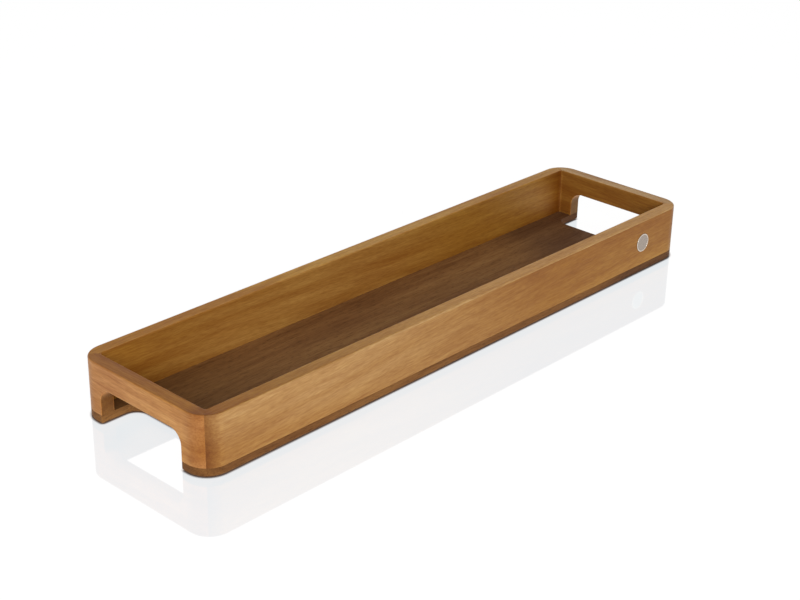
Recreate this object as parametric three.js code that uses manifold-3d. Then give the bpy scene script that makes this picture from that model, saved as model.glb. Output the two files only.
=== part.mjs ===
// A long wooden serving tray: four mitred walls on a darker base board, a handle opening through
// each end wall with a finger notch in the base board under it, and a round metal badge at the front.
// Millimetres. +X runs along the length, the front wall is at -Y, +Z is up, and the origin is the
// middle of the underside.
import * as THREE from "three";
import { mergeVertices } from "three/addons/utils/BufferGeometryUtils.js";
import Module from "manifold-3d";

// The tray as a whole
const LENGTH = 600;
const WIDTH = 150;
const HEIGHT = 52;
const CORNER_RADIUS = 20;

// Boards
const BASE_THICKNESS = 7.5;
const WALL_THICKNESS = 12.5;
const RIM_EASE = 1.5; // round-over along the edges of the rim
const BASE_EASE = 2; // round-over along the edge of the underside
const GLUE_LINE = 0.3; // between the two faces of a mitre

// Handle opening in an end wall, and the finger notch in the base board under it
const OPENING_WIDTH = 96;
const OPENING_RADIUS = 12;
const HANDLE_HEIGHT = 20; // from the top of the opening to the rim
const NOTCH_DEPTH = 35; // from the end of the tray
const NOTCH_RADIUS = 12;

// Loose tongues across the mitres, in slots that are stopped below the rim
const SPLINE_THICKNESS = 3;
const SPLINE_WIDTH = 8;
const SPLINE_COVER = 12; // wood left above the slot
const SPLINE_CLEARANCE = 0.3;

// Countersunk wood screws from the underside into the long walls
const SCREWS_PER_WALL = 6;
const SCREW_END_INSET = 40; // from the end of the tray to the first screw
const SCREW_LENGTH = 20;
const SCREW_DIAMETER = 3;
const SCREW_TIP = 3.5; // length of the point
const SCREW_POINT_DIAMETER = 0.5;
const SCREW_CLEARANCE = 0.3;
const HEAD_DIAMETER = 6;
const HEAD_EDGE = 0.3; // height of the head's straight edge
const HEAD_HEIGHT = 1.9;
const HEAD_RECESS = 0.5; // the head lies this far inside the underside
const DRIVE_LENGTH = 3; // cross recess in the head
const DRIVE_WIDTH = 0.7;
const DRIVE_DEPTH = 1.1;

// Badge: a turned disc with a raised edge, bedded in a shallow recess of the front wall
const BADGE_DIAMETER = 17.5;
const BADGE_THICKNESS = 1.5;
const BADGE_EDGE_WIDTH = 0.9;
const BADGE_EDGE_HEIGHT = 0.25;
const BADGE_END_INSET = 62; // from the right end of the tray to the badge's middle
const BADGE_RECESS = 1.3;
const BADGE_CLEARANCE = 0.2;

// Fineness of round shapes, and how far a cutter runs past the face that it cuts
const CORNER_STEPS = 8;
const EASE_STEPS = 3;
const SCREW_SIDES = 16;
const BADGE_SIDES = 48;
const OVERRUN = 5;

const halfLength = LENGTH / 2;
const halfWidth = WIDTH / 2;
const wallMiddle = halfWidth - WALL_THICKNESS / 2;
const innerLength = halfLength - WALL_THICKNESS;
const innerWidth = halfWidth - WALL_THICKNESS;

const acacia = new THREE.MeshStandardMaterial({ color: 0xb8854f, roughness: 0.5, metalness: 0 });
const darkAcacia = new THREE.MeshStandardMaterial({ color: 0x5c3d25, roughness: 0.55, metalness: 0 });
const beech = new THREE.MeshStandardMaterial({ color: 0xd0a878, roughness: 0.7, metalness: 0 });
const zincSteel = new THREE.MeshStandardMaterial({ color: 0xb9bcc0, roughness: 0.4, metalness: 1 });
const satinSteel = new THREE.MeshStandardMaterial({ color: 0xcfcfcd, roughness: 0.3, metalness: 1 });

const wasm = await Module();
wasm.setup();

const tray = new THREE.Group();

// The closed solid that a geometry bounds.
function solid(geometry) {
  const bare = geometry.clone();
  bare.deleteAttribute("normal");
  bare.deleteAttribute("uv");
  const welded = mergeVertices(bare);
  return new wasm.Manifold(
    new wasm.Mesh({
      numProp: 3,
      vertProperties: welded.attributes.position.array,
      triVerts: new Uint32Array(welded.index.array),
    }),
  );
}

// The surface of a cut or joined solid as a geometry.
function surface(body) {
  const mesh = body.getMesh();
  const geometry = new THREE.BufferGeometry();
  geometry.setAttribute("position", new THREE.BufferAttribute(mesh.vertProperties, 3));
  geometry.setIndex(new THREE.BufferAttribute(mesh.triVerts, 1));
  geometry.computeVertexNormals();
  return geometry;
}

function add(name, geometry, material) {
  const piece = new THREE.Mesh(geometry, material);
  piece.name = name;
  tray.add(piece);
  return piece;
}

// An outline in the XY plane, raised from one height to another.
function raise(shape, bottom, top) {
  const settings = { depth: top - bottom, bevelEnabled: false, curveSegments: CORNER_STEPS };
  return solid(new THREE.ExtrudeGeometry(shape, settings).translate(0, 0, bottom));
}

// The same with both of its edges rounded over, inside the outline.
function raiseEased(shape, bottom, top, ease) {
  const settings = {
    depth: top - bottom - 2 * ease,
    bevelThickness: ease,
    bevelSize: ease,
    bevelOffset: -ease,
    bevelSegments: EASE_STEPS,
    curveSegments: CORNER_STEPS,
  };
  return solid(new THREE.ExtrudeGeometry(shape, settings).translate(0, 0, bottom + ease));
}

// An outline in the YZ plane, run through one end of the tray in the X direction.
function runThroughEnd(shape, end) {
  const depth = WALL_THICKNESS + 2 * OVERRUN;
  const settings = { depth, bevelEnabled: false, curveSegments: CORNER_STEPS };
  const bar = new THREE.ExtrudeGeometry(shape, settings);
  bar.rotateZ(Math.PI / 2).rotateY(Math.PI / 2);
  return solid(bar.translate(end * (halfLength - WALL_THICKNESS / 2) - depth / 2, 0, 0));
}

// A profile of [radius, height] points turned around the Z axis.
function turn(profile, sides) {
  const points = profile.map(([radius, height]) => new THREE.Vector2(radius, height));
  return new THREE.LatheGeometry(points, sides).rotateX(Math.PI / 2);
}

function polygon(points) {
  return new THREE.Shape(points.map(([x, y]) => new THREE.Vector2(x, y)));
}

// A rectangle around the origin, from its half sizes.
function rectangle(x, y) {
  return polygon([[-x, -y], [x, -y], [x, y], [-x, y]]);
}

// The tray's outline, with the four corners rounded.
function trayOutline() {
  const shape = new THREE.Shape();
  const x = halfLength - CORNER_RADIUS;
  const y = halfWidth - CORNER_RADIUS;
  const centres = [[x, -y], [x, y], [-x, y], [-x, -y]];
  centres.forEach(([cx, cy], corner) => {
    const start = (corner - 1) * (Math.PI / 2);
    shape.absarc(cx, cy, CORNER_RADIUS, start, start + Math.PI / 2, false);
  });
  return shape;
}

// A finger notch, open at the end of the tray; the left one is the right one turned half round.
function notchOutline(end) {
  const shape = new THREE.Shape();
  const mouth = OPENING_WIDTH / 2;
  const turned = end > 0 ? 0 : Math.PI;
  const cornerX = halfLength - NOTCH_DEPTH + NOTCH_RADIUS;
  const cornerY = mouth - NOTCH_RADIUS;
  shape.moveTo(end * (halfLength + OVERRUN), -end * mouth);
  shape.lineTo(end * (halfLength + OVERRUN), end * mouth);
  for (const [y, start] of [[cornerY, Math.PI / 2], [-cornerY, Math.PI]]) {
    const from = start + turned;
    shape.absarc(end * cornerX, end * y, NOTCH_RADIUS, from, from + Math.PI / 2, false);
  }
  return shape;
}

// Screws: one along Z for all places, its head down. The hole is the screw grown by its clearance,
// with a straight mouth that opens at the underside.
const screwPoint = SCREW_POINT_DIAMETER / 2;
const screwProfile = (grown, mouth) => [
  [0, -mouth],
  [HEAD_DIAMETER / 2 + grown, -mouth],
  [HEAD_DIAMETER / 2 + grown, HEAD_EDGE],
  [SCREW_DIAMETER / 2 + grown, HEAD_HEIGHT],
  [SCREW_DIAMETER / 2 + grown, SCREW_LENGTH - SCREW_TIP],
  [screwPoint + grown, SCREW_LENGTH + grown],
  [0, SCREW_LENGTH + grown],
];
const driveBar = solid(new THREE.BoxGeometry(DRIVE_LENGTH, DRIVE_WIDTH, 2 * DRIVE_DEPTH));
const crossBar = solid(new THREE.BoxGeometry(DRIVE_WIDTH, DRIVE_LENGTH, 2 * DRIVE_DEPTH));
const screw = solid(turn(screwProfile(0, 0), SCREW_SIDES)).subtract(driveBar.add(crossBar));
const screwGeometry = surface(screw);
const screwHole = solid(turn(screwProfile(SCREW_CLEARANCE, HEAD_RECESS + OVERRUN), SCREW_SIDES));

const screwPlaces = [];
for (const [wall, side] of [["front", -1], ["back", 1]]) {
  for (let i = 0; i < SCREWS_PER_WALL; i++) {
    const along = THREE.MathUtils.lerp(-1, 1, i / (SCREWS_PER_WALL - 1));
    const place = [along * (halfLength - SCREW_END_INSET), side * wallMiddle, HEAD_RECESS];
    screwPlaces.push({ name: `${wall}_screw_${i + 1}`, place });
  }
}
for (const { name, place } of screwPlaces) {
  add(name, screwGeometry, zincSteel).position.set(...place);
}

// Takes every screw's hole out of a board.
function drill(board) {
  return screwPlaces.reduce((left, { place }) => left.subtract(screwHole.translate(place)), board);
}

// Base board: rounded over below only, so the board is raised past its top face and cut off there.
const thickBase = raiseEased(trayOutline(), 0, BASE_THICKNESS + OVERRUN, BASE_EASE);
const trimPlan = rectangle(halfLength + OVERRUN, halfWidth + OVERRUN);
const baseTrim = raise(trimPlan, BASE_THICKNESS, BASE_THICKNESS + 2 * OVERRUN);
const notches = [1, -1].map((end) => raise(notchOutline(end), -OVERRUN, BASE_THICKNESS + OVERRUN));
const baseBoard = notches.reduce((left, notch) => left.subtract(notch), thickBase.subtract(baseTrim));
add("base_board", surface(drill(baseBoard)), darkAcacia);

// Wall frame: one ring with its rim rounded over, parted at the four mitres.
const ringOutline = trayOutline();
ringOutline.holes.push(rectangle(innerLength, innerWidth));
const ring = raiseEased(ringOutline, BASE_THICKNESS - OVERRUN, HEIGHT, RIM_EASE);
const mitreShift = GLUE_LINE / Math.SQRT2;

// The part of the plan that belongs to a long wall or an end wall: it lies between the two mitres
// that run in at 45 degrees from the corners, each set back by half the glue line.
function longWallPlan(side) {
  const outer = halfLength + OVERRUN - mitreShift;
  const inner = halfLength - halfWidth - mitreShift;
  const plan = [[-outer, -halfWidth - OVERRUN], [outer, -halfWidth - OVERRUN], [inner, 0], [-inner, 0]];
  return polygon(plan.map(([x, y]) => [-side * x, -side * y]));
}
function endWallPlan(end) {
  const outer = halfWidth + OVERRUN - mitreShift;
  const tip = halfLength - halfWidth + mitreShift;
  const plan = [[halfLength + OVERRUN, -outer], [halfLength + OVERRUN, outer], [tip, 0]];
  return polygon(plan.map(([x, y]) => [end * x, end * y]));
}
const wallBlank = (plan) => ring.intersect(raise(plan, BASE_THICKNESS, HEIGHT + OVERRUN));

// Splines: each stands on the base board, across the middle of its mitre.
const mitreWidth = WALL_THICKNESS * Math.SQRT2 - CORNER_RADIUS * (Math.SQRT2 - 1);
const splineSet = mitreWidth / 2 / Math.SQRT2; // along X and along Y, out from the inner corner
const slotTop = HEIGHT - SPLINE_COVER;
const splineTop = slotTop - SPLINE_CLEARANCE;
const splineHeight = splineTop - BASE_THICKNESS;
const splineGeometry = new THREE.BoxGeometry(SPLINE_THICKNESS, SPLINE_WIDTH, splineHeight);
const slotHeight = slotTop - BASE_THICKNESS + OVERRUN;
const slotBar = solid(
  new THREE.BoxGeometry(
    SPLINE_THICKNESS + 2 * SPLINE_CLEARANCE,
    SPLINE_WIDTH + 2 * SPLINE_CLEARANCE,
    slotHeight,
  ),
);
const slots = [];
for (const [wall, side] of [["front", -1], ["back", 1]]) {
  for (const [hand, end] of [["left", -1], ["right", 1]]) {
    const x = end * (innerLength + splineSet);
    const y = side * (innerWidth + splineSet);
    const turned = (end * side * Math.PI) / 4;
    const spline = add(`${wall}_${hand}_spline`, splineGeometry, beech);
    spline.position.set(x, y, BASE_THICKNESS + splineHeight / 2);
    spline.rotation.z = turned;
    const slot = slotBar.rotate([0, 0, THREE.MathUtils.radToDeg(turned)]);
    slots.push(slot.translate([x, y, slotTop - slotHeight / 2]));
  }
}
const slotted = (wall) => slots.reduce((left, slot) => left.subtract(slot), wall);

// Badge: the disc lies on a thin bed of glue at the bottom of its recess.
const badgeRadius = BADGE_DIAMETER / 2;
const badgeFace = BADGE_THICKNESS - BADGE_EDGE_HEIGHT;
const badgeProfile = [
  [0, 0],
  [badgeRadius, 0],
  [badgeRadius, badgeFace],
  [badgeRadius - BADGE_EDGE_WIDTH / 2, BADGE_THICKNESS],
  [badgeRadius - BADGE_EDGE_WIDTH, badgeFace],
  [0, badgeFace],
];
const badgeX = halfLength - BADGE_END_INSET;
const badgeZ = (BASE_THICKNESS + HEIGHT) / 2;
const recessFloor = BADGE_RECESS - halfWidth;
const badge = add("badge_disc", turn(badgeProfile, BADGE_SIDES).rotateX(Math.PI / 2), satinSteel);
badge.position.set(badgeX, recessFloor - BADGE_CLEARANCE, badgeZ);
const recessRadius = badgeRadius + BADGE_CLEARANCE;
const recessBar = new THREE.CylinderGeometry(recessRadius, recessRadius, OVERRUN, BADGE_SIDES);
const recess = solid(recessBar.translate(badgeX, recessFloor - OVERRUN / 2, badgeZ));

// Long walls
add("front_wall", surface(slotted(drill(wallBlank(longWallPlan(-1)))).subtract(recess)), acacia);
add("back_wall", surface(slotted(drill(wallBlank(longWallPlan(1))))), acacia);

// End walls: the handle opening is open below, where the base board has its notch.
const openingTop = HEIGHT - HANDLE_HEIGHT;
const opening = new THREE.Shape();
const openingSide = OPENING_WIDTH / 2;
opening.moveTo(-openingSide, -OVERRUN);
opening.lineTo(openingSide, -OVERRUN);
const shoulder = openingSide - OPENING_RADIUS;
const shoulderBottom = openingTop - OPENING_RADIUS;
opening.absarc(shoulder, shoulderBottom, OPENING_RADIUS, 0, Math.PI / 2, false);
opening.absarc(-shoulder, shoulderBottom, OPENING_RADIUS, Math.PI / 2, Math.PI, false);
for (const [hand, end] of [["left", -1], ["right", 1]]) {
  const wall = wallBlank(endWallPlan(end)).subtract(runThroughEnd(opening, end));
  add(`${hand}_end_wall`, surface(slotted(wall)), acacia);
}

export default tray;
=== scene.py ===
"""A long serving tray in oiled hardwood, on a white shooting table.

Four mitred walls stand on a dark base board. A handle opening goes through each end wall, with a finger
notch in the base board under it, and a round metal badge is let into the front wall.
"""
import math

import bmesh
import bpy
import numpy as np
from mathutils import Matrix, Vector


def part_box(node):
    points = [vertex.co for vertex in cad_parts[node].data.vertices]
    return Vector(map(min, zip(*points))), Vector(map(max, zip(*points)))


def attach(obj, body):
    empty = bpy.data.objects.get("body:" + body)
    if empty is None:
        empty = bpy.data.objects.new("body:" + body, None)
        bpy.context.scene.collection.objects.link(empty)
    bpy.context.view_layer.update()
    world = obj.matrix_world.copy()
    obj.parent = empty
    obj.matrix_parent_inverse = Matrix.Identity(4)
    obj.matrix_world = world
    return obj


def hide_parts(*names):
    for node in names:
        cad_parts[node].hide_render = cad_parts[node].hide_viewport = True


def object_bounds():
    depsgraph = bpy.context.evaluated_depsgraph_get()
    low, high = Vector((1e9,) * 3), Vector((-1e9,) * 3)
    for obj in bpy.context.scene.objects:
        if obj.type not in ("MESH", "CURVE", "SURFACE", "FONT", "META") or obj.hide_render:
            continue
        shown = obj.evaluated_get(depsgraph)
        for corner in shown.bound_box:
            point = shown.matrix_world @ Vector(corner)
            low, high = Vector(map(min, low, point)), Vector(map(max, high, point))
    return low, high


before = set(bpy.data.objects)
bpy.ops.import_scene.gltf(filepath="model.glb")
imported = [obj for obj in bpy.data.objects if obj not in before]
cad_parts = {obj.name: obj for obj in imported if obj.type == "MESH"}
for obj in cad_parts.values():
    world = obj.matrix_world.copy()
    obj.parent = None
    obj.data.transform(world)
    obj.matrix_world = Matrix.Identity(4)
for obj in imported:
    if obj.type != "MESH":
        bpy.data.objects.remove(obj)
cad_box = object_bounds()

# Base board
# One flat board of dark-stained acacia, sawn to the tray's outline. A finger notch is routed into each
# end, and twelve countersunk holes under the long walls take the screws that hold the walls on it.
MM = 0.001
board_low, board_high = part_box("base_board")
corner_radius = 20 * MM
notch_half_width = 48 * MM
notch_depth = 35 * MM
notch_radius = 12 * MM
notch_mouth_ease = 0.8 * MM
board_top_ease = 0.5 * MM
board_under_ease = 2.0 * MM
outline_steps = 14
hole_radius = 1.8 * MM
hole_overrun = 1.5 * MM
hole_sides = 32
countersink_radius = 3.3 * MM
countersink_rim = 0.8 * MM
countersink_depth = 2.4 * MM


def rounded_outline(corners, steps, inset=0.0, least_radius=0.2 * MM):
    """Closed outline round the corners (x, y, radius), given anticlockwise, with every run moved inwards
    by the inset. Each corner is an arc that touches the straight runs before and after it. An inset makes
    the arcs of outer corners smaller, down to the least radius, and those of inner corners larger."""
    place, radius = corners[:, :2], corners[:, 2]
    run_in = place - np.roll(place, 1, 0)
    run_in /= np.linalg.norm(run_in, axis=1, keepdims=True)
    run_out = np.roll(run_in, -1, 0)
    normal_in = np.stack([run_in[:, 1], -run_in[:, 0]], -1)
    normal_out = np.stack([run_out[:, 1], -run_out[:, 0]], -1)
    swing = run_in[:, 0] * run_out[:, 1] - run_in[:, 1] * run_out[:, 0]
    bend = np.arctan2(swing, (run_in * run_out).sum(1))
    reach = np.where(bend > 0, np.maximum(radius - inset, least_radius), -radius - inset)
    middle = place - ((inset + reach) / (1 + np.cos(bend)))[:, None] * (normal_in + normal_out)
    angle = (bend[:, None] * np.linspace(0, 1, steps))[..., None]
    across = np.stack([-normal_in[:, 1], normal_in[:, 0]], -1)
    normals = np.cos(angle) * normal_in[:, None] + np.sin(angle) * across[:, None]
    points = middle[:, None] + reach[:, None, None] * normals
    return points.reshape(-1, 2)


def quarter_round(radius, steps=6):
    """Quarter circle between two faces at right angles: (distance inside the first face, distance
    inside the second face), from the first face to the second."""
    angle = np.linspace(0, math.pi / 2, steps + 1)
    return radius * np.stack([1 - np.cos(angle), 1 - np.sin(angle)], -1)


def lathe(profile, middle, sides):
    """The profile (radius, height) turned once round a vertical axis through middle."""
    angle = np.linspace(0, 2 * math.pi, sides + 1)
    radius, height = profile[:, :1], profile[:, 1:]
    ring = (radius * np.cos(angle), radius * np.sin(angle), height + 0 * angle)
    return np.stack(ring, -1) + np.array(middle)


def mesh_of(name, grids, loops=(), merge=0.002 * MM):
    """Quads over each grid of points, and one flat face in each closed loop. Points that meet are
    merged, so that the grids close to one skin, and the faces are turned outwards."""
    points, faces, count = [], [], 0
    for grid in grids:
        rows, columns = grid.shape[:2]
        index = count + np.arange(rows * columns).reshape(rows, columns)
        corners = (index[:-1, :-1], index[:-1, 1:], index[1:, 1:], index[1:, :-1])
        faces += np.stack(corners, -1).reshape(-1, 4).tolist()
        points.append(grid.reshape(-1, 3))
        count += rows * columns
    for loop in loops:
        faces.append(list(range(count, count + len(loop))))
        points.append(loop)
        count += len(loop)
    mesh = bpy.data.meshes.new(name)
    mesh.from_pydata(np.concatenate(points), [], faces)
    skin = bmesh.new()
    skin.from_mesh(mesh)
    bmesh.ops.remove_doubles(skin, verts=skin.verts, dist=merge)
    bmesh.ops.recalc_face_normals(skin, faces=skin.faces)
    skin.to_mesh(mesh)
    skin.free()
    return mesh


def place_piece(name, mesh, material, node_name, cutter=None, sharp_angle=math.radians(35)):
    """The mesh as a piece that stands for a CAD node: cut where a cutter is given, shaded smooth between
    its sharp edges, with flat faces kept flat by normals weighted with the faces' areas."""
    piece = bpy.data.objects.new(name, mesh)
    bpy.context.scene.collection.objects.link(piece)
    if cutter:
        tool = bpy.data.objects.new("cutter", cutter)
        bpy.context.scene.collection.objects.link(tool)
        cut = piece.modifiers.new("cut", "BOOLEAN")
        cut.object = tool
        cut.solver = "EXACT"
        graph = bpy.context.evaluated_depsgraph_get()
        piece.data = bpy.data.meshes.new_from_object(piece.evaluated_get(graph))
        piece.data.name = name
        piece.modifiers.clear()
        bpy.data.objects.remove(tool)
    piece.data.materials.clear()
    piece.data.materials.append(material)
    piece.data.shade_smooth()
    piece.data.set_sharp_from_angle(angle=sharp_angle)
    even = piece.modifiers.new("even_shading", "WEIGHTED_NORMAL")
    even.keep_sharp = True
    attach(piece, "root")
    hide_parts(node_name)


def linear(colour):
    """Linear red, green, blue and alpha of an sRGB hex colour."""
    srgb = np.array([int(colour[k : k + 2], 16) for k in (1, 3, 5)]) / 255
    return *np.where(srgb > 0.04045, ((srgb + 0.055) / 1.055) ** 2.4, srgb / 12.92), 1


def node(tree, kind, settings, links=()):
    """Adds a shader node, sets its properties and sockets, and links outputs to its sockets."""
    made = tree.nodes.new(kind)
    for key, value in settings.items():
        if isinstance(key, str) and hasattr(made, key):
            setattr(made, key, value)
        else:
            made.inputs[key].default_value = value
    for key, output in dict(links).items():
        tree.links.new(output, made.inputs[key])
    return made


def bare_material(name):
    """A new material, its node tree and its shader."""
    material = bpy.data.materials.new(name)
    material.use_nodes = True
    tree = material.node_tree
    return material, tree, tree.nodes["Principled BSDF"]


# The well's half length and half width, with a little of the walls' inner edges. A wave pattern repeats
# once in a tenth of pi over its scale.
well_edge = 0.7 * MM
well_half = (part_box("right_end_wall")[0].x + well_edge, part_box("back_wall")[0].y + well_edge)
wave_length = math.pi / 10


def oiled_wood(name, pale, deep, layers, along=(1, 0, 0), shift=(0, 0, 0), slope=0.0, rings=5 * MM,
               roughness=(0.4, 0.52), specular=0.2):
    """Sawn, sanded and oiled hardwood, as a solid pattern whose grain runs along one axis, with the pattern
    shifted in metres and sloped in radians, so that no two boards are alike.

    Broad stripes go from the pale to the deep colour. Each layer (pattern, first limit, second limit,
    amount, tint) then multiplies the colour by its tint, from not at all at the first limit to the whole
    amount at the second. The patterns are noise drawn out along the grain (stripe, streak, fibre, pore),
    growth rings round a far pith, the place along the board in metres (drift), how far the face looks up
    (upward), the drift less that (side_drift), the same times the height over the middle of a wall
    (twist), 1 in the tray's well (inside), the drift there alone (inner_drift), and how squarely the face
    stands across the grain outside the well (end)."""
    wander_length, wander_width, wander_reach = 180 * MM, 45 * MM, 9 * MM
    wall_middle = 30 * MM
    stripe_limits = (0.36, 0.66)
    fibre_limits = (0.3, 0.7)
    relief_strength, relief_height = 0.35, 0.12 * MM
    oil_ior = 1.5

    material, tree, shader = bare_material(name)
    turn = -math.atan2(along[1], along[0])
    place = node(tree, "ShaderNodeTexCoord", {})
    lined = node(tree, "ShaderNodeMapping", {"Rotation": (0, 0, turn)},
                 {"Vector": place.outputs["Object"]})
    moved = node(tree, "ShaderNodeMapping", {"Location": shift, "Rotation": (0, slope, 0)},
                 {"Vector": lined.outputs[0]})
    slow = node(tree, "ShaderNodeMapping",
                {"Scale": (1 / wander_length, 1 / wander_width, 1 / wander_width)},
                {"Vector": moved.outputs[0]})
    wander = node(tree, "ShaderNodeTexNoise", {"Scale": 1, "Detail": 2}, {"Vector": slow.outputs[0]})
    grain = node(tree, "ShaderNodeVectorMath",
                 {"operation": "MULTIPLY_ADD", 1: (0, wander_reach, wander_reach)},
                 {0: wander.outputs["Color"], 2: moved.outputs[0]})

    # Size of each pattern along and across the grain, and the detail of its noise. Real fibres and pores
    # are about a quarter of a millimetre across, too fine for the picture, so they are drawn coarser.
    patterns = {}
    for key, length, width, detail in (("stripe", 240 * MM, 16 * MM, 2), ("streak", 60 * MM, 6 * MM, 2),
                                       ("fibre", 22 * MM, 1.3 * MM, 3), ("pore", 6 * MM, 0.7 * MM, 0)):
        scaled = node(tree, "ShaderNodeMapping", {"Scale": (1 / length, 1 / width, 1 / width)},
                      {"Vector": grain.outputs[0]})
        noise = node(tree, "ShaderNodeTexNoise", {"Scale": 1, "Detail": detail},
                     {"Vector": scaled.outputs[0]})
        patterns[key] = noise.outputs["Fac"]
    growth = node(tree, "ShaderNodeTexWave",
                  {"wave_type": "RINGS", "rings_direction": "X", "wave_profile": "SAW",
                   "Scale": wave_length / rings, "Distortion": 2.5, "Detail": 2, "Detail Scale": 0.6},
                  {"Vector": grain.outputs[0]})
    patterns["growth"] = growth.outputs["Fac"]

    # Which way the face looks, and where on the board it lies.
    facing = node(tree, "ShaderNodeNewGeometry", {})
    upward = node(tree, "ShaderNodeSeparateXYZ", {}, {0: facing.outputs["Normal"]})
    patterns["upward"] = upward.outputs["Z"]
    lengthwise = node(tree, "ShaderNodeSeparateXYZ", {}, {0: lined.outputs[0]})
    patterns["drift"] = lengthwise.outputs["X"]
    side_drift = node(tree, "ShaderNodeMath", {"operation": "SUBTRACT"},
                      {0: patterns["drift"], 1: patterns["upward"]})
    patterns["side_drift"] = side_drift.outputs[0]
    over_middle = node(tree, "ShaderNodeMath", {"operation": "SUBTRACT", 1: wall_middle},
                       {0: lengthwise.outputs["Z"]})
    twist = node(tree, "ShaderNodeMath", {"operation": "MULTIPLY"},
                 {0: patterns["side_drift"], 1: over_middle.outputs[0]})
    patterns["twist"] = twist.outputs[0]
    either_side = node(tree, "ShaderNodeVectorMath", {"operation": "ABSOLUTE"},
                       {0: place.outputs["Object"]})
    share_of_well = node(tree, "ShaderNodeVectorMath", {"operation": "DIVIDE", 1: (*well_half, 1)},
                         {0: either_side.outputs[0]})
    in_well = node(tree, "ShaderNodeSeparateXYZ", {}, {0: share_of_well.outputs[0]})
    outermost = node(tree, "ShaderNodeMath", {"operation": "MAXIMUM"},
                     {0: in_well.outputs["X"], 1: in_well.outputs["Y"]})
    inside = node(tree, "ShaderNodeMath", {"operation": "LESS_THAN", 1: 1}, {0: outermost.outputs[0]})
    patterns["inside"] = inside.outputs[0]
    inner_drift = node(tree, "ShaderNodeMath", {"operation": "MULTIPLY"},
                       {0: patterns["drift"], 1: patterns["inside"]})
    patterns["inner_drift"] = inner_drift.outputs[0]
    across = node(tree, "ShaderNodeVectorMath", {"operation": "DOT_PRODUCT", 1: along},
                  {0: facing.outputs["Normal"]})
    squarely = node(tree, "ShaderNodeMath", {"operation": "ABSOLUTE"}, {0: across.outputs["Value"]})
    bare_end = node(tree, "ShaderNodeMath", {"operation": "SUBTRACT"},
                    {0: squarely.outputs[0], 1: patterns["inside"]})
    patterns["end"] = bare_end.outputs[0]

    stripe = node(tree, "ShaderNodeMapRange",
                  {"From Min": stripe_limits[0], "From Max": stripe_limits[1]},
                  {"Value": patterns["stripe"]})
    tone = node(tree, "ShaderNodeMix", {"data_type": "RGBA", 6: linear(pale), 7: linear(deep)},
                {0: stripe.outputs[0]})
    for key, first, second, amount, tint in layers:
        share = node(tree, "ShaderNodeMapRange",
                     {"From Min": first, "From Max": second, "To Max": amount},
                     {"Value": patterns[key]})
        tone = node(tree, "ShaderNodeMix",
                    {"data_type": "RGBA", "blend_type": "MULTIPLY", 7: linear(tint)},
                    {0: share.outputs[0], 6: tone.outputs[2]})
    tree.links.new(tone.outputs[2], shader.inputs["Base Color"])
    sheen = node(tree, "ShaderNodeMapRange",
                 {"From Min": fibre_limits[0], "From Max": fibre_limits[1],
                  "To Min": roughness[0], "To Max": roughness[1]},
                 {"Value": patterns["fibre"]})
    tree.links.new(sheen.outputs[0], shader.inputs["Roughness"])
    height = node(tree, "ShaderNodeMath", {"operation": "SUBTRACT"},
                  {0: patterns["fibre"], 1: patterns["pore"]})
    relief = node(tree, "ShaderNodeBump", {"Strength": relief_strength, "Distance": relief_height},
                  {"Height": height.outputs[0]})
    tree.links.new(relief.outputs[0], shader.inputs["Normal"])
    shader.inputs["IOR"].default_value = oil_ior
    shader.inputs["Specular IOR Level"].default_value = specular
    return material


# Dark-stained acacia: the stain evens the stripes out, leaves the pores nearly black and dulls the oil.
# The floor darkens towards both ends, next to the end walls, and the far end of the board darkens as a
# whole: painted shade. The sawn edge is warmer than the floor.
stained_acacia = oiled_wood(
    "dark_stained_acacia", "#9B7143", "#865D36",
    [("growth", 0.1, 0.9, 0.15, "#A58468"), ("streak", 0.45, 0.7, 0.28, "#A8845E"),
     ("fibre", 0.42, 0.7, 0.3, "#9C7A5C"), ("pore", 0.6, 0.72, 0.35, "#4A3020"),
     ("side_drift", -1.14, -1.25, 1, "#CBC7BC"), ("drift", 0.165, 0.215, 1, "#C8C4CF"),
     ("upward", 0.7, 0.3, 1, "#EEE2C9")],
    shift=(0.4, 0.02, 0.15), rings=9 * MM, roughness=(0.55, 0.68), specular=0.12)

right_end = np.array([(board_high.x, board_low.y, corner_radius),
                      (board_high.x, -notch_half_width, notch_mouth_ease),
                      (board_high.x - notch_depth, -notch_half_width, notch_radius),
                      (board_high.x - notch_depth, notch_half_width, notch_radius),
                      (board_high.x, notch_half_width, notch_mouth_ease),
                      (board_high.x, board_high.y, corner_radius)])
board_corners = np.concatenate([right_end, right_end * (-1, -1, 1)])
board_edge = np.concatenate([quarter_round(board_under_ease)[::-1],
                             (0, board_high.z) + quarter_round(board_top_ease, steps=3) * (1, -1)])
board_rows = np.stack([rounded_outline(board_corners, outline_steps, inset) for inset in board_edge[:, 0]])
board_rows = np.dstack([board_rows, np.broadcast_to(board_edge[:, 1:], board_rows.shape[:2])])
board_skin = np.concatenate([board_rows, board_rows[:, :1]], 1)
board_mesh = mesh_of("base_board_stained", [board_skin], [board_rows[0], board_rows[-1]])
screw_names = [f"{side}_screw_{number}" for side in ("front", "back") for number in range(1, 7)]
screw_boxes = [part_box(name) for name in screw_names]
screw_axes = [(*((low + high) / 2).xy, 0) for low, high in screw_boxes]
hole_profile = np.array([(countersink_radius, -hole_overrun), (countersink_radius, countersink_rim),
                         (hole_radius, countersink_depth), (hole_radius, board_high.z + hole_overrun)])
holes = [lathe(hole_profile, axis, hole_sides) for axis in screw_axes]
hole_ends = [hole[row, :-1] for hole in holes for row in (0, -1)]
place_piece("base_board_stained", board_mesh, stained_acacia, "base_board",
            mesh_of("screw_holes", holes, hole_ends))

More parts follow.
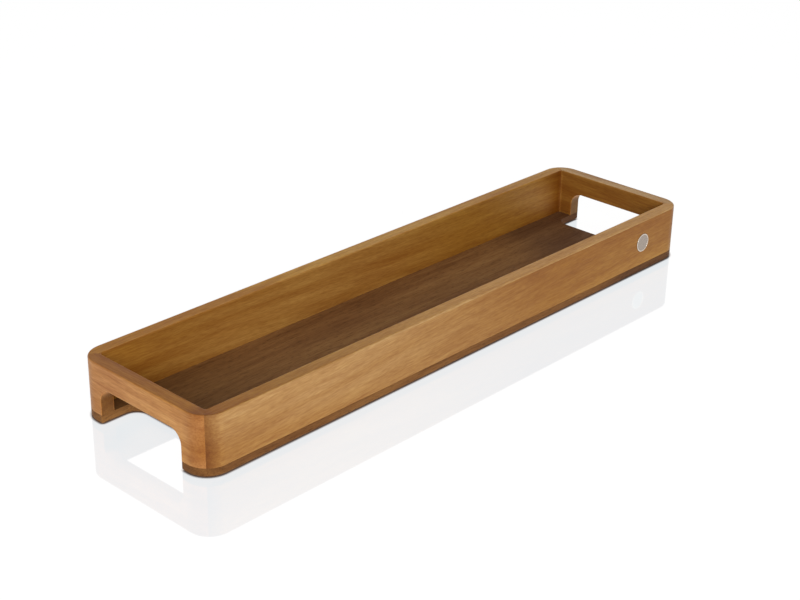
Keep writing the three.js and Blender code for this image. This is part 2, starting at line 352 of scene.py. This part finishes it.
# Long walls
# Two straight-grained acacia boards on edge, mitred at both ends and glued and screwed to the base board.
# The corners are rounded and the rim is eased after the glue has set, so the arc runs on into the ends.
wall_low, wall_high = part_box("front_wall")
wall_thickness = wall_high.y - wall_low.y
rim_outer_ease = 1.2 * MM
rim_inner_ease = 1.0 * MM
cove_radius = 2.5 * MM
mitre_gap = 0.06 * MM
corner_steps = 26
badge_low, badge_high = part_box("badge_disc")
badge_middle = (badge_low + badge_high) / 2
badge_half = (badge_high.x - badge_low.x) / 2
badge_clearance = 0.2 * MM
recess_overrun = 5 * MM
recess_sides = 64


def wall_plan(along, straight, outer):
    """Outer and inner points, in plan, of a wall on the -Y side at a distance along it from its middle.
    The wall is straight up to a limit. Past it the outer point runs round the corner's arc, while the
    inner point runs on to the cove in the corner, until both lie on the mitre at 45 degrees."""
    side, run = np.sign(along), np.minimum(np.abs(along), straight)
    turn = np.maximum(np.abs(along) - straight, 0) / corner_radius
    outer_points = np.stack([side * (run + corner_radius * np.sin(turn)),
                             -outer + corner_radius * (1 - np.cos(turn))], -1)
    depth = corner_radius - wall_thickness
    cove_start = math.atan((depth - cove_radius) / depth)
    cove = np.maximum(turn - cove_start, 0) / (math.pi / 4 - cove_start) * math.pi / 4
    reach = depth * np.tan(np.minimum(turn, cove_start)) + cove_radius * np.sin(cove)
    inner_points = np.stack([side * (run + reach),
                             -outer + wall_thickness + cove_radius * (1 - np.cos(cove))], -1)
    return outer_points, inner_points


def wall_section(plan, outer_side, inner_side):
    """Points across a wall at each place of its plan: outer_side gives (distance inside the outer face,
    height) and inner_side (distance inside the inner face, height)."""
    outer, inner = plan
    inward = (inner - outer) / np.linalg.norm(inner - outer, axis=-1, keepdims=True)
    flat = np.concatenate([outer[:, None] + outer_side[:, :1] * inward[:, None],
                           inner[:, None] - inner_side[:, :1] * inward[:, None]], 1)
    heights = np.concatenate([outer_side[:, 1], inner_side[:, 1]])
    return np.dstack([flat, np.broadcast_to(heights, flat.shape[:2])])


def turned(points, quarters):
    """The points turned about the vertical axis by a number of quarter turns."""
    x, y, z = np.moveaxis(points, -1, 0)
    for _ in range(quarters):
        x, y = -y, x
    return np.stack([x, y, z], -1)


rim_outer = (0, wall_high.z) + quarter_round(rim_outer_ease) * (1, -1)
rim_inner = (0, wall_high.z) + quarter_round(rim_inner_ease, steps=4)[::-1] * (1, -1)
outer_side = np.concatenate([[(0, wall_low.z)], rim_outer])
inner_side = np.concatenate([rim_inner, [(0, wall_low.z)]])
long_straight = board_high.x - corner_radius
corner_run = corner_radius * math.pi / 4 - mitre_gap / 2
round_corner = np.linspace(0, corner_run, corner_steps)
long_stations = np.concatenate([-long_straight - round_corner[::-1], long_straight + round_corner])
long_plan = wall_plan(long_stations, long_straight, board_high.y)
long_section = wall_section(long_plan, outer_side, inner_side)
long_skin = np.concatenate([long_section, long_section[:, :1]], 1)

# Oiled acacia: pale heart stripes in a honey brown, with short soft flecks, and end grain that soaks up
# more oil and turns darker round the corners.
acacia_layers = [("growth", 0.05, 0.95, 0.12, "#D2A878"), ("fibre", 0.3, 0.7, 0.36, "#BC9068"),
                 ("pore", 0.35, 0.7, 0.24, "#B0824F")]
long_layers = acacia_layers + [("end", 0.1, 0.75, 0.45, "#B2915D")]

# The front board is palest left of its middle. It deepens to a more orange brown over its right half, and
# to a dull one at its left mitre, where its end grain shows and the corner lies in shade: partly the wood,
# partly painted shade. Its inner face is darker and warmer than its outer one: painted shade and painted
# warm light. Its rim is warmer than its sides: painted warm top light. The rim deepens to the left: partly
# the wood, partly painted sheen, which is stronger to the right.
front_layers = long_layers + [
    ("inside", 0, 1, 1, "#FFF4E0"), ("drift", -0.284, -0.2935, 1, "#D5BF9D"),
    ("drift", -0.15, -0.26, 1, "#F7F1E8"), ("streak", 0.45, 0.72, 0.25, "#C69C60"),
    ("upward", 0.8, 0.98, 1, "#FFF7D8"), ("upward", 0.98, 0.8, 1, "#F2F8FC"),
    ("twist", -0.003, 0.0035, 1, "#E1CDA3"), ("side_drift", -0.96, -1.23, 1, "#D6CB93"),
    ("side_drift", -1.215, -1.29, 1, "#EDD8A7"), ("side_drift", -0.18, 0.1, 1, "#DBC27B")]
front_acacia = oiled_wood("oiled_acacia_front", "#E3B87D", "#D4A465", front_layers,
                          shift=(0, 0.03, 0.13), slope=0.05)

# The back board is a shade browner. Its inner face is darker and warmer than its outer one: painted shade
# and painted warm light. The inner face deepens into both corners: painted shade. It is most golden right
# of its middle. Its rim is more golden than its sides: painted warm top light. The rim is more golden to
# the left: partly the wood, partly painted sheen, which is stronger to the right.
back_layers = long_layers + [
    ("inside", 0, 1, 1, "#EEEACB"), ("upward", 0.999, 0.98, 1, "#FFEDCF"),
    ("streak", 0.45, 0.72, 0.28, "#C69C60"), ("upward", 0.8, 0.98, 1, "#FFEDA3"),
    ("side_drift", -0.98, -1.1, 1, "#FFFBC3"), ("inner_drift", -0.16, -0.26, 1, "#E4D8B4"),
    ("inner_drift", 0.02, 0.14, 1, "#FBFAD4"), ("inner_drift", 0.255, 0.283, 1, "#C8B090")]
back_acacia = oiled_wood("oiled_acacia_back", "#DCB77F", "#C09153", back_layers,
                         shift=(0.7, 0.05, 0.12), slope=-0.03)

recess_radius = badge_half + badge_clearance
recess_profile = np.array([(recess_radius, wall_low.y - recess_overrun),
                           (recess_radius, badge_high.y + badge_clearance)])
recess = lathe(recess_profile, (0, 0, 0), recess_sides)[..., [0, 2, 1]]
recess = recess + (badge_middle.x, 0, badge_middle.z)
recess_cutter = mesh_of("badge_recess", [recess], [recess[0, :-1], recess[1, :-1]])
for side, quarters, material, cutter in (("front", 0, front_acacia, recess_cutter),
                                         ("back", 2, back_acacia, None)):
    skin = turned(long_skin, quarters)
    ends = [skin[0, :-1], skin[-1, :-1]]
    place_piece(f"{side}_wall_oiled", mesh_of(f"{side}_wall_oiled", [skin], ends), material,
                f"{side}_wall", cutter)

# End walls
# Two short acacia boards, mitred to the long ones. A handle opening with round shoulders is routed up
# from the lower edge of each, and its edges are eased for the hand.
opening_half_width = notch_half_width
opening_radius = 12 * MM
opening_ease = 0.6 * MM
handle_height = 20 * MM
rim_band = 3 * MM
leg_steps, mitre_steps, shoulder_rim_steps, handle_steps, face_steps = 4, 6, 24, 8, 20
end_straight = board_high.y - corner_radius
end_reach = end_straight + corner_run
opening_top = wall_high.z - handle_height
shoulder = opening_top - opening_radius
band_foot = wall_high.z - rim_band

# The opening's edge from one foot to the other, the direction out of the opening at each point of it, and
# the point on the mitre or under the rim band that a line from there across the wall's face leads to.
leg = np.linspace(wall_low.z, shoulder, leg_steps + 1)[:-1]
bend = np.linspace(0, math.pi / 2, mitre_steps + shoulder_rim_steps + 1)
handle = np.linspace(-1, 1, handle_steps + 1)[1:-1] * (opening_half_width - opening_radius)
round_shoulder = opening_radius * np.stack([1 - np.cos(bend), np.sin(bend)], -1)
half_edge = np.concatenate([np.stack([np.full_like(leg, -opening_half_width), leg], -1),
                            (-opening_half_width, shoulder) + round_shoulder])
half_away = np.concatenate([np.tile((-1.0, 0.0), (leg_steps, 1)),
                            np.stack([-np.cos(bend), np.sin(bend)], -1)])
up_mitre = np.linspace(shoulder, band_foot, mitre_steps + 1)
along_rim = np.linspace(-end_reach, -opening_half_width + opening_radius, shoulder_rim_steps + 1)[1:]
half_target = np.concatenate([
    np.stack([np.full(leg_steps + mitre_steps + 1, -end_reach), np.concatenate([leg, up_mitre])], -1),
    np.stack([along_rim, np.full(shoulder_rim_steps, band_foot)], -1)])


def mirrored(half, middle):
    """The left half of an edge, its middle, and the left half again as the right one, from left to
    right."""
    return np.concatenate([half, middle, half[::-1] * (-1, 1)])


edge = mirrored(half_edge, np.stack([handle, np.full_like(handle, opening_top)], -1))
away = mirrored(half_away, np.tile((0.0, 1.0), (len(handle), 1)))
target = mirrored(half_target, np.stack([handle, np.full_like(handle, band_foot)], -1))
face_start = edge + opening_ease * away
spread = np.linspace(0, 1, face_steps + 1)[:, None]
face = face_start[:, None] + spread * (target - face_start)[:, None]
outer_plan, inner_plan = wall_plan(face[..., 0], end_straight, board_high.x)
outer_face = np.dstack([outer_plan, face[..., 1]])
inner_face = np.dstack([inner_plan, face[..., 1]])

# Through the opening: a quarter round from the outer face, the flat of the cut, and a quarter round onto
# the inner face. The wall is straight there, so the depth runs straight through it.
round_in = quarter_round(opening_ease)
lip = np.concatenate([round_in[::-1], (0, wall_thickness) + round_in * (1, -1)])
lip_edge = edge[:, None] + lip[:, :1] * away[:, None]
lip_depth = np.broadcast_to(-board_high.x + lip[:, 1], lip_edge.shape[:2])
opening_skin = np.stack([lip_edge[..., 0], lip_depth, lip_edge[..., 1]], -1)

rim_stations = target[leg_steps + mitre_steps : -leg_steps - mitre_steps, 0]
rim_skin = wall_section(wall_plan(rim_stations, end_straight, board_high.x),
                        np.concatenate([[(0, band_foot)], rim_outer]),
                        np.concatenate([rim_inner, [(0, band_foot)]]))
on_mitre = slice(0, leg_steps + mitre_steps + 1)
end_grids = [outer_face, inner_face, opening_skin, rim_skin,
             np.stack([outer_face[on_mitre, -1], inner_face[on_mitre, -1]], 1),
             np.stack([outer_face[::-1][on_mitre, -1], inner_face[::-1][on_mitre, -1]], 1)]
feet = [np.concatenate([outer_face[row], inner_face[row, ::-1], opening_skin[row, -2:0:-1]])
        for row in (0, -1)]
end_loops = feet + [rim_skin[0], rim_skin[-1]]

# The same oiled acacia from one plank, deeper on the end grain of the opening. The inner faces are darker
# and warmer than the outer ones: painted shade and painted warm light. The left board is redder, with a
# deeper, more golden rim: painted shade and painted warm top light. It is palest a little in front of its
# middle.
end_layers = acacia_layers + [("streak", 0.45, 0.72, 0.4, "#C69C60")]
right_layers = end_layers + [
    ("inside", 0, 1, 1, "#D6C99B"), ("upward", 0.999, 0.98, 1, "#FFEDCF"),
    ("end", 0.8, 0.97, 1, "#A2A17D")]
left_layers = end_layers + [
    ("inside", 0, 1, 1, "#F6EEDC"), ("upward", 0.8, 0.98, 1, "#D8C97E"),
    ("end", 0.8, 0.97, 1, "#ADA67A"), ("drift", -0.03, 0.03, 1, "#EEE5E2"),
    ("drift", -0.05, -0.06, 1, "#DCCFC8")]
for side, quarters, pale, deep, layers in (("right", 1, "#DCB77F", "#C09153", right_layers),
                                           ("left", 3, "#DEA560", "#CD9144", left_layers)):
    acacia = oiled_wood(f"oiled_acacia_{side}", pale, deep, layers, along=(0, 1, 0),
                        shift=(0.2, 0.04, 0.16), slope=0.02)
    mesh = mesh_of(f"{side}_end_wall_oiled", [turned(grid, quarters) for grid in end_grids],
                   [turned(loop, quarters) for loop in end_loops])
    place_piece(f"{side}_end_wall_oiled", mesh, acacia, f"{side}_end_wall")

# Splines
# Loose tongues of pale beech, glued in slots across the four mitres. They are plain planed strips, shut
# in on all sides, so the solids stay and get their wood.
beech = oiled_wood("planed_beech", "#D9B48A", "#C99F72",
                   [("fibre", 0.42, 0.7, 0.4, "#C8A27C"), ("pore", 0.6, 0.7, 0.5, "#9C7048")],
                   shift=(0.1, 0.2, 0.3), roughness=(0.6, 0.72))
for end in ("front_left", "front_right", "back_left", "back_right"):
    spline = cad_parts[f"{end}_spline"]
    spline.material_slots[0].material = beech

# Screws
# Twelve countersunk steel wood screws, zinc plated, driven from below through the base board into the
# long walls. The thread is rolled, and the cross recess in the head is pressed.
screw_low, screw_high = screw_boxes[0]
head_radius = (screw_high.x - screw_low.x) / 2
head_edge, head_height = 0.3 * MM, 1.9 * MM
core_radius, thread_ridge, thread_pitch = 1.1 * MM, 0.4 * MM, 1.35 * MM
thread_start, tip_length, tip_radius = 3.0 * MM, 3.5 * MM, 0.1 * MM
ridge_half_share = 0.3
drive_arm, drive_half_width, drive_depth = 1.5 * MM, 0.35 * MM, 1.1 * MM
drive_side_slope, drive_end_slope = 0.15 * MM, 0.2 * MM
head_rows, shank_rows, screw_sides = 16, 104, 28
spangle_size = 0.6 * MM
zinc_roughness = (0.28, 0.46)


def wood_screw(length):
    """A screw, head down, as radius and height over turns and rows: the flat head out from its middle,
    its cone, then a shank with a ridge that climbs one pitch a turn and fades out at both ends. The
    cross recess lifts the head's face where either arm covers it."""
    angle = np.linspace(0, 2 * math.pi, screw_sides + 1)
    shank = np.linspace(head_height, length, shank_rows)
    narrowing = np.clip((length - shank) / tip_length, 0, 1)
    radius = np.concatenate([np.linspace(0, head_radius, head_rows), [head_radius],
                             tip_radius + (core_radius - tip_radius) * narrowing])[:, None]
    height = np.concatenate([np.zeros(head_rows), [head_edge], shank])[:, None]
    fade = np.clip((shank - thread_start) / thread_pitch, 0, 1) * narrowing
    ridge = thread_ridge * np.concatenate([np.zeros(head_rows + 1), fade])[:, None]
    phase = (height / thread_pitch - angle / (2 * math.pi)) % 1
    bulge = np.clip(1 - np.abs(phase - 0.5) / ridge_half_share, 0, 1)
    across = radius + ridge * bulge
    x, y = across * np.cos(angle), across * np.sin(angle)
    near, far = np.minimum(np.abs(x), np.abs(y)), np.maximum(np.abs(x), np.abs(y))
    within_arm = np.clip((drive_half_width - near) / drive_side_slope, 0, 1)
    before_end = np.clip((drive_arm - far) / drive_end_slope, 0, 1)
    on_face = (np.arange(len(radius)) < head_rows)[:, None]
    lift = drive_depth * within_arm * before_end * on_face
    return np.stack([x, y, height + lift], -1)


# Zinc-plated steel: bright and a little bluish, with a fine spangle that dulls the shine in spots.
zinc, tree, shader = bare_material("zinc_plated_steel")
shader.inputs["Metallic"].default_value = 1
place = node(tree, "ShaderNodeTexCoord", {})
spangle = node(tree, "ShaderNodeTexNoise", {"Scale": 1 / spangle_size, "Detail": 3},
               {"Vector": place.outputs["Object"]})
plate = node(tree, "ShaderNodeMix", {"data_type": "RGBA", 6: linear("#C9CBC8"), 7: linear("#A9ADB0")},
             {0: spangle.outputs["Fac"]})
tree.links.new(plate.outputs[2], shader.inputs["Base Color"])
dulled = node(tree, "ShaderNodeMapRange", {"To Min": zinc_roughness[0], "To Max": zinc_roughness[1]},
              {"Value": spangle.outputs["Fac"]})
tree.links.new(dulled.outputs[0], shader.inputs["Roughness"])
screw_skin = wood_screw(screw_high.z - screw_low.z)
for name, axis in zip(screw_names, screw_axes):
    skin = screw_skin + (axis[0], axis[1], screw_low.z)
    mesh = mesh_of(f"{name}_zinc", [skin], [skin[-1, :-1]])
    place_piece(f"{name}_zinc", mesh, zinc, name)

# Badge
# A small turned disc of stainless steel with a raised edge, pressed into a shallow recess in the front
# wall. The face inside the edge is bare.
raised = badge_high.y - badge_low.y
edge_width, edge_height, edge_round, edge_draft = 0.9 * MM, 0.25 * MM, 0.12 * MM, 0.05 * MM
badge_sides = 72
turning_pitch, turning_depth = 0.35 * MM, 0.02 * MM
steel_roughness = (0.24, 0.36)
field = raised - edge_height
edge_foot = badge_half - edge_width
steel_round = quarter_round(edge_round, steps=4)
badge_profile = np.concatenate([[(0, field), (edge_foot - edge_draft, field)],
                                (edge_foot, raised) + steel_round * (1, -1),
                                (badge_half, raised) - steel_round[::-1],
                                [(badge_half, 0), (0, 0)]])

# Turned stainless steel: a satin grey face with fine round tool marks, and a brighter polished edge.
steel, tree, shader = bare_material("turned_stainless_steel")
shader.inputs["Metallic"].default_value = 1
place = node(tree, "ShaderNodeTexCoord", {})
centred = node(tree, "ShaderNodeMapping", {"Location": (-badge_middle.x, 0, -badge_middle.z)},
               {"Vector": place.outputs["Object"]})
turning = node(tree, "ShaderNodeTexWave",
               {"wave_type": "RINGS", "rings_direction": "Y", "Scale": wave_length / turning_pitch,
                "Distortion": 0.4},
               {"Vector": centred.outputs[0]})
satin = node(tree, "ShaderNodeMix", {"data_type": "RGBA", 6: linear("#AEA298"), 7: linear("#95897F")},
             {0: turning.outputs["Fac"]})
depth = node(tree, "ShaderNodeSeparateXYZ", {}, {0: place.outputs["Object"]})
proud = node(tree, "ShaderNodeMath", {"operation": "LESS_THAN", 1: badge_low.y + edge_height / 2},
             {0: depth.outputs["Y"]})
polished = node(tree, "ShaderNodeMix", {"data_type": "RGBA", 7: linear("#D8CEC1")},
                {0: proud.outputs[0], 6: satin.outputs[2]})
tree.links.new(polished.outputs[2], shader.inputs["Base Color"])
dulled = node(tree, "ShaderNodeMapRange", {"To Min": steel_roughness[0], "To Max": steel_roughness[1]},
              {"Value": turning.outputs["Fac"]})
tree.links.new(dulled.outputs[0], shader.inputs["Roughness"])
marks = node(tree, "ShaderNodeBump", {"Strength": 0.25, "Distance": turning_depth},
             {"Height": turning.outputs["Fac"]})
tree.links.new(marks.outputs[0], shader.inputs["Normal"])
disc = lathe(badge_profile, (0, 0, 0), badge_sides) * (1, 1, -1)
disc = disc[..., [0, 2, 1]] + (badge_middle.x, badge_high.y, badge_middle.z)
place_piece("badge_disc_steel", mesh_of("badge_disc_steel", [disc]), steel, "badge_disc")

# Shooting table, lamps and camera
# A sheet of glossy white acrylic, lit from below as such tables are, so that it sends light up onto the
# tray's sides. It shows white, with a faint mirror image of the tray and a faint shadow.
table_half, table_drop = 4.0, 0.2 * MM
table_glow = 1.0
mirror, mirror_roughness = (0.24, 0.187, 0.158), 0.04
shadow_share, lamp_level_on_table = 0.12, 0.4
# The painted contact shadow: how far its ambient occlusion reaches, the occlusion at which the white is
# gone and at which it is whole, and the samples.
contact_reach, contact_limits, contact_samples = 3 * MM, (0.5, 0.9), 16
studio_fill = 0.22


def shows(tree):
    """1 for the rays that make the picture, straight or in gloss or glass, and 0 for those that only
    carry light: the largest of three kinds of ray."""
    ray = node(tree, "ShaderNodeLightPath", {})
    straight_or_gloss = node(tree, "ShaderNodeMath", {"operation": "MAXIMUM"},
                             {0: ray.outputs["Is Camera Ray"], 1: ray.outputs["Is Glossy Ray"]})
    any_kind = node(tree, "ShaderNodeMath", {"operation": "MAXIMUM"},
                    {0: straight_or_gloss.outputs[0], 1: ray.outputs["Is Transmission Ray"]})
    return any_kind.outputs[0]


scene = bpy.context.scene
scene.view_settings.view_transform = "Standard"
table_corners = table_half * np.array([(-1, -1, 0), (1, -1, 0), (1, 1, 0), (-1, 1, 0)])
table_mesh = bpy.data.meshes.new("shooting_table")
table_mesh.from_pydata(table_corners - (0, 0, table_drop), [], [(0, 1, 2, 3)])
table = bpy.data.objects.new("shooting_table", table_mesh)
scene.collection.objects.link(table)

# Glossy white acrylic: white with what it mirrors, the lamps' shadow, and a painted contact shadow: the
# white dims with ambient occlusion to a dark line where the tray touches it. It lights the tray evenly from
# below, and from below it is clear.
acrylic, tree, shader = bare_material("glossy_white_acrylic")
tree.nodes.remove(shader)
white_part = tuple(1 - share - shadow_share * lamp_level_on_table for share in mirror) + (1,)
open_above = node(tree, "ShaderNodeAmbientOcclusion",
                  {"Distance": contact_reach, "samples": contact_samples})
lit = node(tree, "ShaderNodeMapRange", {"From Min": contact_limits[0], "From Max": contact_limits[1]},
           {"Value": open_above.outputs["AO"]})
white = node(tree, "ShaderNodeEmission", {"Color": white_part}, {"Strength": lit.outputs[0]})
gloss = node(tree, "ShaderNodeBsdfGlossy", {"Color": mirror + (1,), "Roughness": mirror_roughness})
shaded = node(tree, "ShaderNodeBsdfDiffuse", {"Color": (shadow_share,) * 3 + (1,)})
glossy_white = node(tree, "ShaderNodeAddShader", {}, {0: white.outputs[0], 1: gloss.outputs[0]})
seen = node(tree, "ShaderNodeAddShader", {}, {0: glossy_white.outputs[0], 1: shaded.outputs[0]})
glow = node(tree, "ShaderNodeEmission", {"Color": (1, 1, 1, 1), "Strength": table_glow})
from_above = node(tree, "ShaderNodeMixShader", {}, {0: shows(tree), 1: glow.outputs[0], 2: seen.outputs[0]})
side = node(tree, "ShaderNodeNewGeometry", {})
through = node(tree, "ShaderNodeBsdfTransparent", {})
either_side = node(tree, "ShaderNodeMixShader", {},
                   {0: side.outputs["Backfacing"], 1: from_above.outputs[0], 2: through.outputs[0]})
tree.links.new(either_side.outputs[0], tree.nodes["Material Output"].inputs["Surface"])
table_mesh.materials.append(acrylic)

# The white studio round the table shows white and fills the shadows with a little light.
world = bpy.data.worlds.new("white_studio")
scene.world = world
world.use_nodes = True
tree = world.node_tree
background = tree.nodes["Background"]
background.inputs["Color"].default_value = (1, 1, 1, 1)
fill = node(tree, "ShaderNodeMapRange", {"To Min": studio_fill, "To Max": 1}, {"Value": shows(tree)})
tree.links.new(fill.outputs[0], background.inputs["Strength"])

# Each softbox: its direction from the tray, its distance, width and height in metres, and its watts.
tray_middle = (cad_box[0] + cad_box[1]) / 2
for name, toward, distance, width, height, power in (
        ("key_softbox", (-0.55, -0.72, 0.42), 2.2, 1.6, 1.0, 27),
        ("top_softbox", (0.1, 0.2, 1.0), 2.4, 1.6, 1.6, 8)):
    lamp = bpy.data.lights.new(name, "AREA")
    lamp.shape = "RECTANGLE"
    lamp.size, lamp.size_y, lamp.energy = width, height, power
    softbox = bpy.data.objects.new(name, lamp)
    scene.collection.objects.link(softbox)
    direction = Vector(toward).normalized()
    softbox.location = tray_middle + direction * distance
    softbox.rotation_euler = direction.to_track_quat("Z", "Y").to_euler()

# The camera stands off the tray's near left corner and looks down along it.
camera_place = Vector((-944.03, -865.19, 627.25)) * MM
camera_heading = math.radians(-47.035)
camera_tilt = math.radians(90 - 25.251)
camera_roll = math.radians(1.065)
lens = bpy.data.cameras.new("camera")
lens.sensor_width = 36
lens.lens = 72.82
camera = bpy.data.objects.new("camera", lens)
scene.collection.objects.link(camera)
camera.matrix_world = (Matrix.Translation(camera_place) @ Matrix.Rotation(camera_heading, 4, "Z")
                       @ Matrix.Rotation(camera_tilt, 4, "X") @ Matrix.Rotation(camera_roll, 4, "Z"))
scene.camera = camera
